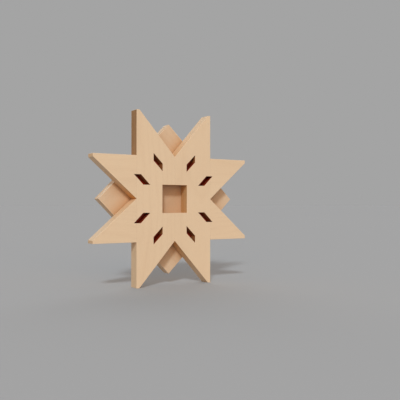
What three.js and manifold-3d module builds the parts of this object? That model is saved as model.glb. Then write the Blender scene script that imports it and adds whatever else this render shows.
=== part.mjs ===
// A six-piece star burr: an eight-pointed star, a ring of four half-lapped bars behind it, and a key
// that fills the ring. The star is glued up from four cross-lapped boards. Each bar carries two rhombic
// pegs, which lean inwards towards the front and seat in leaning mortises behind the star's windows, so
// the bars only come off backwards and outwards, all four at once.
//
// Millimetres. Each piece is drawn in the plane of the star: x right, y up, z towards the front, with
// the star's front face at z = 0. The group stands the star upright: +X right, +Y to the back, +Z up,
// with the origin on the ground below the middle of the depth.

import * as THREE from 'three';
import { mergeVertices } from 'three/addons/utils/BufferGeometryUtils.js';
import Module from 'manifold-3d';

const wasm = await Module();
wasm.setup();

// Driving dimensions
const WIDTH = 120;              // across the blunted points, either way
const ARM_HALF = 29.2;          // half the width of a star arm; also how far out each notch ends
const POINT_SLOPE = 1.138;      // rise over run of a point's inner side
const WELL_HALF = 9.7;          // half the width of the square well
const STAR_THICKNESS = 8.6;
const RING_THICKNESS = 7.2;
const RING_CORNER = 52.9;       // from the centre to a corner of the ring
const BAR_WIDTH = 20.5;
const WINDOW_NEAR = 9.5;        // a window's short sides lie this far and
const WINDOW_FAR = 16.45;       // this far from the star's upright or level centre line
const WINDOW_LOW = 9.5;         // its long sides start this much and
const WINDOW_HIGH = 14.68;      // this much above the diagonal
const PEG_LEAN = THREE.MathUtils.degToRad(20);
const PEG_SEAT = 3.0;           // length of peg inside the star
const PEG_ROOT = 2.5;           // length of peg inside its bar
const CLEARANCE = 0.3;          // between pieces that slide or sit loosely
const GLUE_LINE = 0.02;         // between boards that are glued

const WIDTH_HALF = WIDTH / 2;
const LAP_DEPTH = STAR_THICKNESS / 2;
const RING_FRONT = STAR_THICKNESS + CLEARANCE;
const RING_BACK = RING_FRONT + RING_THICKNESS;
const RING_LAP = RING_FRONT + RING_THICKNESS / 2;
const BAR_OUTER = RING_CORNER / Math.SQRT2;
const BAR_INNER = BAR_OUTER - BAR_WIDTH;
const PEG_TIP = STAR_THICKNESS - PEG_SEAT;
const PAST = 1;                 // how far a cutter runs past the face that it opens
const MERGE_TOLERANCE = 1e-4;
const QUARTER_TURN = Math.PI / 2;
const EIGHTH_TURN = Math.PI / 4;

// Materials: the star, bars and key are pale maple, and the pegs are a dark hardwood.
const maple = (color) => new THREE.MeshStandardMaterial({ color, roughness: 0.6, metalness: 0 });
const starWood = maple(0xdabb99);
const barWood = maple(0xd2b08a);
const keyWood = maple(0xd6b48f);
const pegWood = new THREE.MeshStandardMaterial({ color: 0x5a3220, roughness: 0.55, metalness: 0 });

// A prism over an outline, from one depth behind the star's front face to another.
function slab(outline, fromDepth, toDepth) {
  const shape = new THREE.Shape(outline.map(([x, y]) => new THREE.Vector2(x, y)));
  const geometry = new THREE.ExtrudeGeometry(shape, { depth: toDepth - fromDepth, bevelEnabled: false });
  return geometry.translate(0, 0, -toDepth);
}

function rectangle(x0, y0, x1, y1) {
  return [[x0, y0], [x1, y0], [x1, y1], [x0, y1]];
}

function solid(geometry) {
  const bare = geometry.clone();
  bare.deleteAttribute('normal');
  bare.deleteAttribute('uv');
  const merged = mergeVertices(bare, MERGE_TOLERANCE);
  return new wasm.Manifold(new wasm.Mesh({
    numProp: 3,
    vertProperties: new Float32Array(merged.attributes.position.array),
    triVerts: new Uint32Array(merged.index.array),
  }));
}

function piece(name, body, material) {
  const { vertProperties, triVerts } = body.getMesh();
  const indexed = new THREE.BufferGeometry();
  indexed.setAttribute('position', new THREE.BufferAttribute(vertProperties, 3));
  indexed.setIndex(new THREE.BufferAttribute(triVerts, 1));
  const geometry = indexed.toNonIndexed();
  geometry.computeVertexNormals();
  const mesh = new THREE.Mesh(geometry, material);
  mesh.name = name;
  return mesh;
}

// The rhombic section of a window or a peg, for a bar that lies out along +x. Its long sides run
// straight out from the star's centre, and its short sides are upright or level in the finished star.
function rhombus(side, inset) {
  const low = WINDOW_LOW / Math.SQRT2 + inset;
  const high = WINDOW_HIGH / Math.SQRT2 - inset;
  const near = (WINDOW_NEAR + inset) * Math.SQRT2;
  const far = (WINDOW_FAR - inset) * Math.SQRT2;
  return [[near + low, low], [far + low, low], [far + high, high], [near + high, high]]
    .map(([out, along]) => [out, side * along]);
}

// A rhombic prism that leans: it moves out from the centre by the lean as it goes deeper than the tip.
function leaning(side, inset, fromDepth, toDepth) {
  const lean = Math.tan(PEG_LEAN);
  const shear = new THREE.Matrix4().set(
    1, 0, -lean, -lean * PEG_TIP,
    0, 1, 0, 0,
    0, 0, 1, 0,
    0, 0, 0, 1,
  );
  return slab(rhombus(side, inset), fromDepth, toDepth).applyMatrix4(shear);
}

// The window and the mortise behind it, for each of the eight pegs, as one cutter for the star.
function windowCutter() {
  let cutter = null;
  for (let quarter = 0; quarter < 4; quarter++) {
    for (const side of [-1, 1]) {
      const turn = EIGHTH_TURN + quarter * QUARTER_TURN;
      const window = solid(slab(rhombus(side, 0), -PAST, PEG_TIP).rotateZ(turn));
      const mortise = solid(leaning(side, 0, PEG_TIP, STAR_THICKNESS + PAST).rotateZ(turn));
      const both = window.add(mortise);
      cutter = cutter ? cutter.add(both) : both;
    }
  }
  return cutter;
}

// One board of the star, drawn upright to the right of the centre line: a long side, a short side and
// two ends cut to points. The middle is lapped to half its thickness, in front or behind.
function starBoard(turn, lapFrom, lapTo, windows) {
  const edge = GLUE_LINE / 2;
  const tipInner = (WIDTH_HALF - ARM_HALF) / POINT_SLOPE;
  const notch = ARM_HALF + POINT_SLOPE * edge;
  const outline = [
    [edge, -notch], [tipInner, -WIDTH_HALF], [ARM_HALF, -WIDTH_HALF],
    [ARM_HALF, WIDTH_HALF], [tipInner, WIDTH_HALF], [edge, notch],
  ];
  const shoulder = ARM_HALF + GLUE_LINE;
  const lap = slab(rectangle(-PAST, -shoulder, ARM_HALF + PAST, shoulder), lapFrom, lapTo);
  const well = slab(rectangle(-PAST, -WELL_HALF, WELL_HALF, WELL_HALF), -PAST, STAR_THICKNESS + PAST);
  return solid(slab(outline, 0, STAR_THICKNESS).rotateZ(turn))
    .subtract(solid(lap.rotateZ(turn)))
    .subtract(solid(well.rotateZ(turn)))
    .subtract(windows);
}

function starBoards() {
  const windows = windowCutter();
  const behind = [LAP_DEPTH - GLUE_LINE / 2, STAR_THICKNESS + PAST];
  const inFront = [-PAST, LAP_DEPTH + GLUE_LINE / 2];
  const boards = [
    ['star_board_right', 0, behind],
    ['star_board_top', QUARTER_TURN, inFront],
    ['star_board_left', 2 * QUARTER_TURN, behind],
    ['star_board_bottom', 3 * QUARTER_TURN, inFront],
  ];
  return boards.map(([name, turn, [from, to]]) => piece(name, starBoard(turn, from, to, windows), starWood));
}

// One bar of the ring, lying out along +x: its left end, seen from the front with the bar above the
// centre, keeps the front half of the lap, and its other end keeps the back half.
function ringBar() {
  const shoulder = BAR_INNER - CLEARANCE;
  const halfGap = CLEARANCE / 2;
  const blank = slab(rectangle(BAR_INNER, -BAR_OUTER, BAR_OUTER, BAR_OUTER), RING_FRONT, RING_BACK);
  const backLap = rectangle(BAR_INNER - PAST, shoulder, BAR_OUTER + PAST, BAR_OUTER + PAST);
  const frontLap = rectangle(BAR_INNER - PAST, -BAR_OUTER - PAST, BAR_OUTER + PAST, -shoulder);
  let bar = solid(blank)
    .subtract(solid(slab(backLap, RING_LAP - halfGap, RING_BACK + PAST)))
    .subtract(solid(slab(frontLap, RING_FRONT - PAST, RING_LAP + halfGap)));
  for (const side of [-1, 1]) {
    bar = bar.subtract(solid(leaning(side, 0, RING_FRONT - PAST, RING_FRONT + PEG_ROOT + CLEARANCE)));
  }
  return bar;
}

function ringPieces() {
  const ring = new THREE.Group();
  const places = ['upper_right', 'upper_left', 'lower_left', 'lower_right'];
  places.forEach((place, quarter) => {
    const corner = new THREE.Group();
    corner.rotation.z = EIGHTH_TURN + quarter * QUARTER_TURN;
    corner.add(piece(`bar_${place}`, ringBar(), barWood));
    for (const [side, label] of [[-1, 'a'], [1, 'b']]) {
      const peg = solid(leaning(side, CLEARANCE, PEG_TIP, RING_FRONT + PEG_ROOT));
      corner.add(piece(`peg_${place}_${label}`, peg, pegWood));
    }
    ring.add(corner);
  });
  return ring;
}

function key() {
  const half = BAR_INNER - CLEARANCE;
  const mesh = piece('key', solid(slab(rectangle(-half, -half, half, half), RING_FRONT, RING_BACK)), keyWood);
  mesh.rotation.z = EIGHTH_TURN;
  return mesh;
}

const puzzle = new THREE.Group();
puzzle.rotation.x = QUARTER_TURN;
puzzle.position.set(0, -RING_BACK / 2, WIDTH_HALF);
puzzle.add(...starBoards(), ringPieces(), key());

export default puzzle;
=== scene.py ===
"""A wooden star burr, standing on a plain pale floor in soft studio light.

Every piece of the puzzle is rebuilt from its CAD node with eased edges, then given its own board's
grain. Metres, in the row frame: +X right, +Y to the back, +Z up.
"""

import math

import bmesh
import bpy
from mathutils import Matrix, Vector
from mathutils.bvhtree import BVHTree


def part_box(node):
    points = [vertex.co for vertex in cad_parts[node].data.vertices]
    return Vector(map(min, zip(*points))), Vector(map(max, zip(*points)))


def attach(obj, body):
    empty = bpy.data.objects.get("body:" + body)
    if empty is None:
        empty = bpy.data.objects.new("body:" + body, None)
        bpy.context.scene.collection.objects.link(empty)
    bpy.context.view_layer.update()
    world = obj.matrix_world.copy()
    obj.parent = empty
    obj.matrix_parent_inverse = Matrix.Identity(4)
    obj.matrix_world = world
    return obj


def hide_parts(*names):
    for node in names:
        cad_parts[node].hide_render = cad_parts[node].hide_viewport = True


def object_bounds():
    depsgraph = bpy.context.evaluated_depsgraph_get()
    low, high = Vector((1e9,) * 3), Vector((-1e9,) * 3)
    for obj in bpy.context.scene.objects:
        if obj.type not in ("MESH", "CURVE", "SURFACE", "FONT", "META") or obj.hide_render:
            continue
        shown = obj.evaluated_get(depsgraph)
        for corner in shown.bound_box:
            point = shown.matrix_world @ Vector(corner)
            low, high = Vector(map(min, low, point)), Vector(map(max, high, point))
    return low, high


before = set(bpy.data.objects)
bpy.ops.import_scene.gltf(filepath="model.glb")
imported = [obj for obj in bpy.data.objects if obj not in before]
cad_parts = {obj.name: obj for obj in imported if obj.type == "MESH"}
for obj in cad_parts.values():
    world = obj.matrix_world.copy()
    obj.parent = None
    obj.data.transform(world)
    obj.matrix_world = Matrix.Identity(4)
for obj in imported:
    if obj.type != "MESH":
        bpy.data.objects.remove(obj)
cad_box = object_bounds()

MM = 0.001
LOW, HIGH = (Vector(corner) for corner in cad_box)
WIDTH = HIGH.x - LOW.x
CENTRE = (LOW + HIGH) / 2
FACE = Vector((CENTRE.x, LOW.y, CENTRE.z))      # the middle of the star's front face

# Driving sizes
ARM_HALF = 0.24333 * WIDTH      # half the width of a star arm
POINT_SLOPE = 1.138             # rise over run of a point's inner side
WELL_HALF = 0.08083 * WIDTH     # half the width of the square well
EASE = 0.25 * MM                # how far the edges of the bars and the key are rounded
CRISP = 0.15 * MM               # the same for the star and the pegs
EASE_STEPS = 3


# ---------------------------------------------------------------- camera

CAMERA_OFFSET = Vector((-6.55, -11.81, -0.143)) * ARM_HALF      # from the middle of the star's face
CAMERA_YAW = math.radians(31.55)
CAMERA_PITCH = math.radians(0.5)
CAMERA_CLIP = 0.01
LENS_MM = 51.0
SENSOR_MM = 36.0


def make_camera():
    data = bpy.data.cameras.new("camera")
    data.lens = LENS_MM
    data.sensor_width = SENSOR_MM
    data.clip_start = CAMERA_CLIP
    camera = bpy.data.objects.new("camera", data)
    camera.location = FACE + CAMERA_OFFSET
    camera.rotation_euler = (math.pi / 2 + CAMERA_PITCH, 0, -CAMERA_YAW)
    bpy.context.scene.collection.objects.link(camera)
    bpy.context.scene.camera = camera


# ---------------------------------------------------------------- node helpers

class Tree:
    """A small wrapper that makes shader nodes in one line each."""

    def __init__(self, material):
        material.use_nodes = True
        self.nodes = material.node_tree.nodes
        self.links = material.node_tree.links
        self.shader = self.nodes["Principled BSDF"]

    def put(self, socket, value):
        if isinstance(value, bpy.types.NodeSocket):
            self.links.new(value, socket)
        else:
            socket.default_value = value

    def add(self, kind, inputs, **settings):
        node = self.nodes.new(kind)
        for key, value in settings.items():
            setattr(node, key, value)
        for name, value in inputs.items():
            self.put(node.inputs[name], value)
        return node.outputs[0]

    def math(self, operation, *values, clamp=False):
        inputs = dict(enumerate(values))
        return self.add("ShaderNodeMath", inputs, operation=operation, use_clamp=clamp)

    def times(self, *values, clamp=False):
        return self.math("MULTIPLY", *values, clamp=clamp)

    def plus(self, *values, clamp=False):
        return self.math("ADD", *values, clamp=clamp)

    def minus(self, *values):
        return self.math("SUBTRACT", *values)

    def noise(self, vector, scale=1.0, detail=2.0, roughness=0.5):
        inputs = {"Vector": vector, "Scale": scale, "Detail": detail, "Roughness": roughness}
        return self.add("ShaderNodeTexNoise", inputs)

    def scaled(self, vector, along, across):
        inputs = {0: vector, 1: (along, across, across)}
        return self.add("ShaderNodeVectorMath", inputs, operation="MULTIPLY")

    def parts(self, vector):
        node = self.nodes.new("ShaderNodeSeparateXYZ")
        self.links.new(vector, node.inputs[0])
        return node.outputs

    def ramp(self, value, stops):
        node = self.nodes.new("ShaderNodeValToRGB")
        elements = node.color_ramp.elements
        while len(elements) < len(stops):
            elements.new(0.5)
        for element, (place, level) in zip(elements, stops):
            element.position = place
            element.color = (level, level, level, 1)
        self.links.new(value, node.inputs["Fac"])
        return node.outputs["Color"]

    def mix(self, amount, first, second, blend="MIX"):
        node = self.nodes.new("ShaderNodeMix")
        node.data_type = "RGBA"
        node.blend_type = blend
        colour_inputs = [s for s in node.inputs if s.type == "RGBA"]
        self.put(node.inputs["Factor"], amount)
        self.put(colour_inputs[0], first)
        self.put(colour_inputs[1], second)
        return next(s for s in node.outputs if s.type == "RGBA")

    def attribute(self, name, output="Fac"):
        node = self.nodes.new("ShaderNodeAttribute")
        node.attribute_name = name
        return node.outputs[output]


# ---------------------------------------------------------------- painted shade

def near_line(tree, distance, outwards, inwards):
    """One at a line, fading over the two given reaches to its positive and its negative side."""
    beyond = tree.math("DIVIDE", tree.math("MAXIMUM", distance, 0.0), outwards)
    short = tree.math("DIVIDE", tree.math("MAXIMUM", tree.times(distance, -1.0), 0.0), inwards)
    return tree.math("POWER", math.e, tree.times(tree.plus(beyond, short), -1.0))


def reaches(tree):
    """A point's larger and smaller distance from the puzzle's middle, level or upright, in millimetres."""
    place = tree.parts(tree.attribute("place", "Vector"))
    level = tree.math("ABSOLUTE", place[0])
    upright = tree.math("ABSOLUTE", place[2])
    return tree.math("MAXIMUM", level, upright), tree.math("MINIMUM", level, upright)


def along_slants(tree):
    """Painted shade on the inner sides of the star's points, strongest where two points meet."""
    far, _ = reaches(tree)
    return near_line(tree, tree.minus(far, ARM_HALF / MM), outwards=12.0, inwards=1.0)


def beside_star(tree):
    """Painted shade on the ring, in the notches that the star leaves open, strongest along the star's
    edge.
    """
    far, near = reaches(tree)
    rise = tree.minus(far, tree.times(near, POINT_SLOPE))
    from_edge = tree.math("DIVIDE", tree.minus(rise, ARM_HALF / MM), math.hypot(1, POINT_SLOPE))
    return near_line(tree, from_edge, outwards=5.0, inwards=0.7)


def under_well(tree):
    """Painted shade on the square of the key that the well leaves open."""
    far, _ = reaches(tree)
    return near_line(tree, tree.minus(WELL_HALF / MM, far), outwards=80.0, inwards=0.5)


# ---------------------------------------------------------------- wood

# Growth rings. Lengths are in millimetres, and each texture's scale is along, then across the trunk.
RING_WIDTH = 2.3
RING_WAVE = 14.0                # how far the rings stray from circles
RING_SPREAD = 5.0               # how many rings wider or narrower their spacing drifts
WAVE_SCALE = (0.010, 0.035)
SPREAD_SCALE = (0.0, 0.03)
RING_STOPS = [(0.0, 0.3), (0.5, 0.0), (0.9, 1.0), (1.0, 0.3)]

# Finer figure
FIBRE_SCALE, FIBRE_DETAIL, FIBRE_ROUGHNESS = (0.06, 2.6), 5.0, 0.62
FINE_SCALE = (0.35, 9.0)
FLECK_SCALE, FLECK_STOPS = (0.62, 5.0), [(0.62, 0.0), (0.70, 1.0)]
PORE_SCALE, PORE_STOPS = (0.3, 7.0), [(0.60, 0.0), (0.68, 1.0)]
DRIFT_SCALE = (0.012, 0.05)
WEAR_SCALE = 0.8

# How far each part takes the wood from its pale to its dark colour
BASE_TONE = 0.22
RING_TONE = 0.11
END_RING_TONE = 0.25            # what the rings gain on end grain
FIBRE_TONE = 0.30
FINE_TONE = 0.16
DRIFT_TONE = 0.30
FLECK_TONE = 0.26
PORE_TONE = 0.7

# The finish and painted shade: tints multiply the wood's colour, and colours cover it
END_GRAIN_TINT, END_GRAIN_SOAK = (0.93, 0.84, 0.72, 1), 0.5
# painted shade in the well, on the windows' walls and under faces that look down
RECESS_SHADE_TINT = (0.72, 0.50, 0.24, 1)
BURN_COLOUR, BURN_BASE, BURN_STREAKS = (0.34, 0.16, 0.055, 1), 0.45, 0.9
# painted shade on the windows' walls, a dark red-brown
WINDOW_SHADE_COLOUR, WINDOW_SHADE_BASE = (0.22, 0.014, 0.002, 1), 0.5
WORN_BRIGHTNESS, WORN_BASE, WORN_AMOUNT = 1.06, 0.1, 0.55

# Roughness: what each part adds or takes
SPECULAR = 0.25
FIBRE_ROUGH = 0.16
DRIFT_ROUGH = 0.15
EASED_POLISH = 0.08
END_GRAIN_ROUGH = 0.12

# Relief
FINE_RELIEF = 0.4
FLECK_RELIEF = 0.3
PORE_RELIEF = 0.5
BUMP_STRENGTH = 0.35
BUMP_DEPTH = 0.05 * MM


def growth_rings(tree, grain):
    """Rings round the pith, a little wavy along the trunk and unevenly spaced."""
    wave = tree.noise(tree.scaled(grain, *WAVE_SCALE))
    _, across, outward = tree.parts(grain)
    squares = tree.plus(tree.times(across, across), tree.times(outward, outward))
    radius = tree.plus(tree.math("SQRT", squares), tree.times(wave, RING_WAVE))
    spread = tree.times(tree.noise(tree.scaled(grain, *SPREAD_SCALE), detail=1.0), RING_SPREAD)
    phase = tree.math("FRACT", tree.plus(tree.math("DIVIDE", radius, RING_WIDTH), spread))
    return tree.ramp(phase, RING_STOPS)


def wood(name, pale, dark, painted_shade=None, painted_shade_tint=None, roughness=0.55):
    """Sanded wood. The attribute grain holds each point's place in its own log and place its place in the
    puzzle, in millimetres. The attributes in MARKS say how a face takes the finish and where shade is
    painted on it."""
    material = bpy.data.materials.new(name)
    tree = Tree(material)
    grain = tree.attribute("grain", "Vector")
    rings = growth_rings(tree, grain)

    # fibres, short flecks, pores that show on the end grain, and slow drifts of tone
    fibres = tree.noise(tree.scaled(grain, *FIBRE_SCALE), detail=FIBRE_DETAIL, roughness=FIBRE_ROUGHNESS)
    fine = tree.noise(tree.scaled(grain, *FINE_SCALE))
    flecks = tree.ramp(tree.noise(tree.scaled(grain, *FLECK_SCALE), detail=1.0), FLECK_STOPS)
    pores = tree.ramp(tree.noise(tree.scaled(grain, *PORE_SCALE), detail=1.0), PORE_STOPS)
    drift = tree.noise(tree.scaled(grain, *DRIFT_SCALE))
    end_grain = tree.attribute("end_grain")
    end_pores = tree.times(pores, end_grain)
    side_flecks = tree.times(flecks, tree.minus(1.0, end_grain))
    eased = tree.attribute("eased")

    tone = tree.times(rings, tree.plus(tree.times(end_grain, END_RING_TONE), RING_TONE))
    for part, weight in ((fibres, FIBRE_TONE), (fine, FINE_TONE), (drift, DRIFT_TONE)):
        tone = tree.plus(tone, tree.times(tree.minus(part, 0.5), weight))
    tone = tree.plus(tone, tree.times(side_flecks, FLECK_TONE))
    tone = tree.plus(tone, tree.times(end_pores, PORE_TONE))
    tone = tree.plus(tone, BASE_TONE, clamp=True)
    colour = tree.mix(tone, (*pale, 1), (*dark, 1))

    # the finish and painted shade: darker where end grain soaks the finish in, painted shade in the well,
    # on the windows' walls, under faces that look down and near the star's edges, burnt by the saw, and
    # thin on worn edges
    colour = tree.mix(tree.times(end_grain, END_GRAIN_SOAK), colour, END_GRAIN_TINT, "MULTIPLY")
    # painted shade: darker in the well, on the windows' walls and on faces that look down
    colour = tree.mix(tree.attribute("recess_shade"), colour, RECESS_SHADE_TINT, "MULTIPLY")
    # painted shade near the star's edges, on the points' inner sides and in the well
    if painted_shade:
        shade_amount = tree.times(tree.attribute("shade_mask"), painted_shade(tree), clamp=True)
        colour = tree.mix(shade_amount, colour, (*painted_shade_tint, 1), "MULTIPLY")
    burn = tree.plus(tree.times(fibres, BURN_STREAKS), BURN_BASE)
    colour = tree.mix(tree.times(tree.attribute("burnt"), burn, clamp=True), colour, BURN_COLOUR)
    # painted shade on the windows' walls
    window_shade = tree.plus(fibres, WINDOW_SHADE_BASE)
    colour = tree.mix(tree.times(tree.attribute("bored"), window_shade, clamp=True), colour, WINDOW_SHADE_COLOUR)
    worn = tree.times(eased, tree.plus(tree.noise(grain, WEAR_SCALE), WORN_BASE))
    bare = tuple(min(1.0, WORN_BRIGHTNESS * channel) for channel in pale)
    colour = tree.mix(tree.times(worn, WORN_AMOUNT), colour, (*bare, 1))
    tree.put(tree.shader.inputs["Base Color"], colour)

    rough = tree.plus(tree.times(fibres, FIBRE_ROUGH), roughness - FIBRE_ROUGH / 2)
    rough = tree.plus(rough, tree.times(tree.minus(drift, 0.5), DRIFT_ROUGH))
    rough = tree.minus(rough, tree.times(eased, EASED_POLISH))
    rough = tree.plus(rough, tree.times(end_grain, END_GRAIN_ROUGH))
    tree.put(tree.shader.inputs["Roughness"], rough)
    tree.put(tree.shader.inputs["Specular IOR Level"], SPECULAR)

    height = tree.plus(fibres, tree.times(fine, FINE_RELIEF))
    height = tree.minus(height, tree.times(flecks, FLECK_RELIEF))
    height = tree.minus(height, tree.times(end_pores, PORE_RELIEF))
    relief = {"Strength": BUMP_STRENGTH, "Distance": BUMP_DEPTH, "Height": height}
    tree.put(tree.shader.inputs["Normal"], tree.add("ShaderNodeBump", relief))
    return material


# ---------------------------------------------------------------- pieces

SAME_POINT = 0.002 * MM         # vertices nearer than this are merged
SAME_PLANE = math.radians(0.5)  # faces that turn by less than this are joined
SHARP = math.radians(30)        # edges that turn by less than this aren't eased
TOUCHING = 0.2 * MM             # an edge nearer than this to a glued neighbour stays sharp
ON_CUT = 1e-7                   # vertices nearer than this to a cut are taken to be on it

# The log that each board is sawn from, in millimetres: boards lie apart along it and round its pith
GOLDEN_ANGLE = 2.399963
BOARD_STEP = 137.0
PITH_ACROSS = 45.0
PITH_BEHIND = 62.0
PITH_SWING = 18.0

# How a face takes the finish and painted shade: end grain, an eased edge, painted shade on a window's
# walls, painted shade on the well's walls and under faces that look down, painted shade near the star's
# edges and in the well, and a saw burn
MARKS = ("end_grain", "eased", "bored", "recess_shade", "shade_mask", "burnt")
SQUARELY = 0.9                  # a face's normal has at least this along the way that it faces


def clean_copy(node):
    """The node's own solid, with its flat faces whole again."""
    bm = bmesh.new()
    bm.from_mesh(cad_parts[node].data)
    bmesh.ops.remove_doubles(bm, verts=bm.verts, dist=SAME_POINT)
    bmesh.ops.dissolve_limit(bm, angle_limit=SAME_PLANE, verts=bm.verts, edges=bm.edges)
    return bm


def cut_at(bm, point, normal):
    """Adds an edge loop where a plane crosses the piece."""
    geometry = bm.verts[:] + bm.edges[:] + bm.faces[:]
    bmesh.ops.bisect_plane(bm, geom=geometry, dist=ON_CUT, plane_co=point, plane_no=normal)


def ease_edges(bm, neighbours, width):
    """Rounds every sharp outer edge that isn't against a glued neighbour, and marks the new faces in the
    layer that it returns."""
    trees = []
    for node in neighbours:
        other = bmesh.new()
        other.from_mesh(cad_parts[node].data)
        trees.append(BVHTree.FromBMesh(other))
        other.free()
    eased = bm.faces.layers.int.new("eased")

    def wanted(edge):
        if len(edge.link_faces) != 2 or edge.calc_face_angle_signed() < SHARP:
            return False
        middle = (edge.verts[0].co + edge.verts[1].co) / 2
        return all(tree.find_nearest(middle)[3] > TOUCHING for tree in trees)

    edges = [edge for edge in bm.edges if wanted(edge)]
    made = bmesh.ops.bevel(bm, geom=edges, offset=width, offset_type="OFFSET", segments=EASE_STEPS,
                           profile=0.5, affect="EDGES", clamp_overlap=True)
    for face in made["faces"]:
        face[eased] = 1
    return eased


def log_frame(along, outward):
    """A board's own axes: along the trunk, across the board and out of its face."""
    along = along.normalized()
    across = outward.cross(along).normalized()
    return Matrix((along, across, along.cross(across)))


def place_in_log(seed):
    """Where the middle of a board lies in its log."""
    turn = seed * GOLDEN_ANGLE
    behind = PITH_BEHIND + PITH_SWING * math.sin(turn)
    return Vector((BOARD_STEP * seed, PITH_ACROSS * math.cos(turn), behind))


def front_marks(face):
    """Marks the front faces of the ring and the key for painted shade, where the star leaves them open."""
    return {"shade_mask": float(face.normal.y < -SQUARELY)}


def no_marks(face):
    return {}


def build(node, body, material, along, seed, glued_to=(), cuts=(), marks=front_marks, ease=EASE):
    """Makes the piece that is seen in place of a CAD node, eased and with its own grain."""
    bm = clean_copy(node)
    for point, normal in cuts:
        cut_at(bm, point, normal)
    eased = ease_edges(bm, glued_to, ease)
    bm.normal_update()

    mesh = bpy.data.meshes.new(node)
    values = {mark: [] for mark in MARKS}
    for face in bm.faces:
        rounded = bool(face[eased])
        face.smooth = rounded
        found = {} if rounded else marks(face)
        found["end_grain"] = face.normal.dot(along.normalized()) ** 2
        found["eased"] = float(rounded)
        for mark in MARKS:
            values[mark].append(found.get(mark, 0.0))
    bm.to_mesh(mesh)
    bm.free()

    axes = log_frame(along, Vector((0, -1, 0)))
    low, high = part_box(node)
    middle = (low + high) / 2
    in_log = place_in_log(seed)
    grain = mesh.attributes.new("grain", "FLOAT_VECTOR", "POINT")
    place = mesh.attributes.new("place", "FLOAT_VECTOR", "POINT")
    for index, vertex in enumerate(mesh.vertices):
        grain.data[index].vector = axes @ (vertex.co - middle) / MM + in_log
        place.data[index].vector = (vertex.co - FACE) / MM
    for mark in MARKS:
        mesh.attributes.new(mark, "FLOAT", "FACE").data.foreach_set("value", values[mark])

    piece = bpy.data.objects.new(f"{node}_eased", mesh)
    mesh.materials.append(material)
    bpy.context.scene.collection.objects.link(piece)
    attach(piece, body)
    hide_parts(node)


# ---------------------------------------------------------------- the star

CUT_INSIDE = 1 * MM             # the long sides are parted this far inside the glued middle
FLAT = 0.6                      # more than this along y is the front, the back or a lap
WELL_REACH = 0.5                # walls nearer the middle than this, in arm halves, are the well's,
WINDOW_REACH = 1.3              # and the next ones out to here are the windows'
LEDGE = 0.1                     # a window wall that looks up more than this is a ledge
SLANTED = 0.2                   # a wall with at least this along x isn't level
# painted shade on the well's walls
WELL_SHADE = 0.80
WELL_SHADE_BELOW = 0.20          # painted shade that a well wall gains when it looks down, and loses when it looks up
# painted shade on the windows' walls, strongest on the ledges that look up
LEDGE_SHADE = 1.0
WALL_SHADE = 0.55
# painted shade on the points' inner sides
SLANT_SHADE = 0.3
UNDER_SLANT_SHADE = 0.9              # painted shade that a slanted wall gains when it looks down
UNDER_LEVEL_SHADE = 0.5                # the same for a level one


def reach(point):
    """How far a point is from the middle of the star, in arm halves."""
    return math.hypot(point.x - FACE.x, point.z - FACE.z) / ARM_HALF


def star_marks(face):
    """The walls of the star: painted shade on the well's and the windows' walls, the points' inner sides
    and faces that look down, and a saw burn on one edge.
    """
    if abs(face.normal.y) > FLAT:
        return {}
    middle = face.calc_center_median()
    # painted shade on the well's walls, more on walls that look down
    if reach(middle) < WELL_REACH:
        return {"recess_shade": WELL_SHADE - WELL_SHADE_BELOW * face.normal.z}
    # painted shade on the windows' walls
    if reach(middle) < WINDOW_REACH:
        return {"bored": LEDGE_SHADE if face.normal.z > LEDGE else WALL_SHADE, "recess_shade": 1.0}
    # painted shade grows on faces that look down
    under = 0.5 - 0.5 * face.normal.z
    # painted shade on slanted walls, more where they look down
    if SLANTED < abs(face.normal.x) < SQUARELY:
        return {"shade_mask": SLANT_SHADE + UNDER_SLANT_SHADE * under}
    burnt = face.normal.x < -SQUARELY and middle.z > CENTRE.z + ARM_HALF
    return {"recess_shade": UNDER_LEVEL_SHADE * under, "burnt": float(burnt)}


def build_star(material):
    boards = {"left": Vector((0, 0, 1)), "right": Vector((0, 0, 1)),
              "top": Vector((1, 0, 0)), "bottom": Vector((1, 0, 0))}
    names = {side: f"star_board_{side}" for side in boards}
    for seed, (side, along) in enumerate(boards.items(), start=1):
        cuts = [(FACE + along * end * (ARM_HALF - CUT_INSIDE), along) for end in (-1, 1)]
        others = [names[other] for other in boards if other != side]
        build(names[side], "star", material, along, seed, glued_to=others,
              cuts=cuts, marks=star_marks, ease=CRISP)


# ---------------------------------------------------------------- the ring and the key

def build_ring(bar_material, peg_material):
    places = {"upper_right": (1, 1), "upper_left": (-1, 1), "lower_left": (-1, -1), "lower_right": (1, -1)}
    for seed, (place, (x, z)) in enumerate(places.items(), start=5):
        build(f"bar_{place}", place, bar_material, Vector((-z, 0, x)), seed)
        for letter, shift in (("a", 0.3), ("b", 0.6)):
            build(f"peg_{place}_{letter}", place, peg_material, Vector((x, 0, z)),
                  seed + shift, marks=no_marks, ease=CRISP)


def build_key(material):
    build("key", "key", material, Vector((1, 0, 1)), seed=11)


# ---------------------------------------------------------------- stage and light

AMBIENT = 0.371
# Each light: direction from the puzzle, strength, colour and the angle that it fills, in degrees
LIGHTS = {
    "key_light": ((-0.460, -0.666, 0.586), 1.55, (0.82, 0.96, 1.05), 8),
    "fill_light": ((-0.35, -0.93, 0.12), 1.35, (1.0, 0.66, 0.36), 70),
    "back_light": ((0.45, 0.80, 0.40), 1.15, (1.0, 0.97, 0.93), 70),
}
FLOOR_COLOUR = (0.440, 0.436, 0.441, 1)
FLOOR_ROUGHNESS = 0.9
FLOOR_SPECULAR = 0.0
FLOOR_REACH = 60.0


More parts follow.
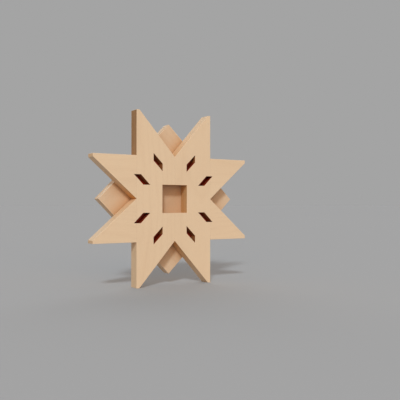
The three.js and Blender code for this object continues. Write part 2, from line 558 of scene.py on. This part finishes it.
def make_stage():
    mesh = bpy.data.meshes.new("floor")
    corners = [(x * FLOOR_REACH, y * FLOOR_REACH, LOW.z) for x, y in ((-1, -1), (1, -1), (1, 1), (-1, 1))]
    mesh.from_pydata(corners, [], [(0, 1, 2, 3)])
    floor = bpy.data.objects.new("floor", mesh)
    material = bpy.data.materials.new("floor")
    tree = Tree(material)
    tree.put(tree.shader.inputs["Base Color"], FLOOR_COLOUR)
    tree.put(tree.shader.inputs["Roughness"], FLOOR_ROUGHNESS)
    tree.put(tree.shader.inputs["Specular IOR Level"], FLOOR_SPECULAR)
    mesh.materials.append(material)
    bpy.context.scene.collection.objects.link(floor)


def make_light():
    scene = bpy.context.scene
    scene.view_settings.view_transform = "Standard"
    scene.world = scene.world or bpy.data.worlds.new("studio")
    scene.world.use_nodes = True
    background = scene.world.node_tree.nodes["Background"]
    background.inputs["Color"].default_value = (AMBIENT, AMBIENT, AMBIENT, 1)
    background.inputs["Strength"].default_value = 1.0
    for name, (direction, strength, colour, angle) in LIGHTS.items():
        data = bpy.data.lights.new(name, "SUN")
        data.energy = strength
        data.color = colour
        data.angle = math.radians(angle)
        light = bpy.data.objects.new(name, data)
        light.rotation_euler = Vector(direction).to_track_quat("Z", "Y").to_euler()
        scene.collection.objects.link(light)


# ---------------------------------------------------------------- the scene

make_camera()
# the star, bar and key woods carry painted shade near the star's edges and in the well
star_wood = wood("star_wood", pale=(0.841, 0.637, 0.434), dark=(0.672, 0.452, 0.282),
                 painted_shade=along_slants, painted_shade_tint=(0.90, 0.60, 0.27))
bar_wood = wood("bar_wood", pale=(0.762, 0.570, 0.395), dark=(0.61, 0.404, 0.25),
                painted_shade=beside_star, painted_shade_tint=(0.75, 0.59, 0.45))
key_wood = wood("key_wood", pale=(0.786, 0.570, 0.39), dark=(0.64, 0.412, 0.248),
                painted_shade=under_well, painted_shade_tint=(0.80, 0.73, 0.67))
peg_wood = wood("peg_wood", pale=(0.34, 0.026, 0.008), dark=(0.18, 0.011, 0.003), roughness=0.5)
build_star(star_wood)
build_ring(bar_wood, peg_wood)
build_key(key_wood)
make_stage()
make_light()
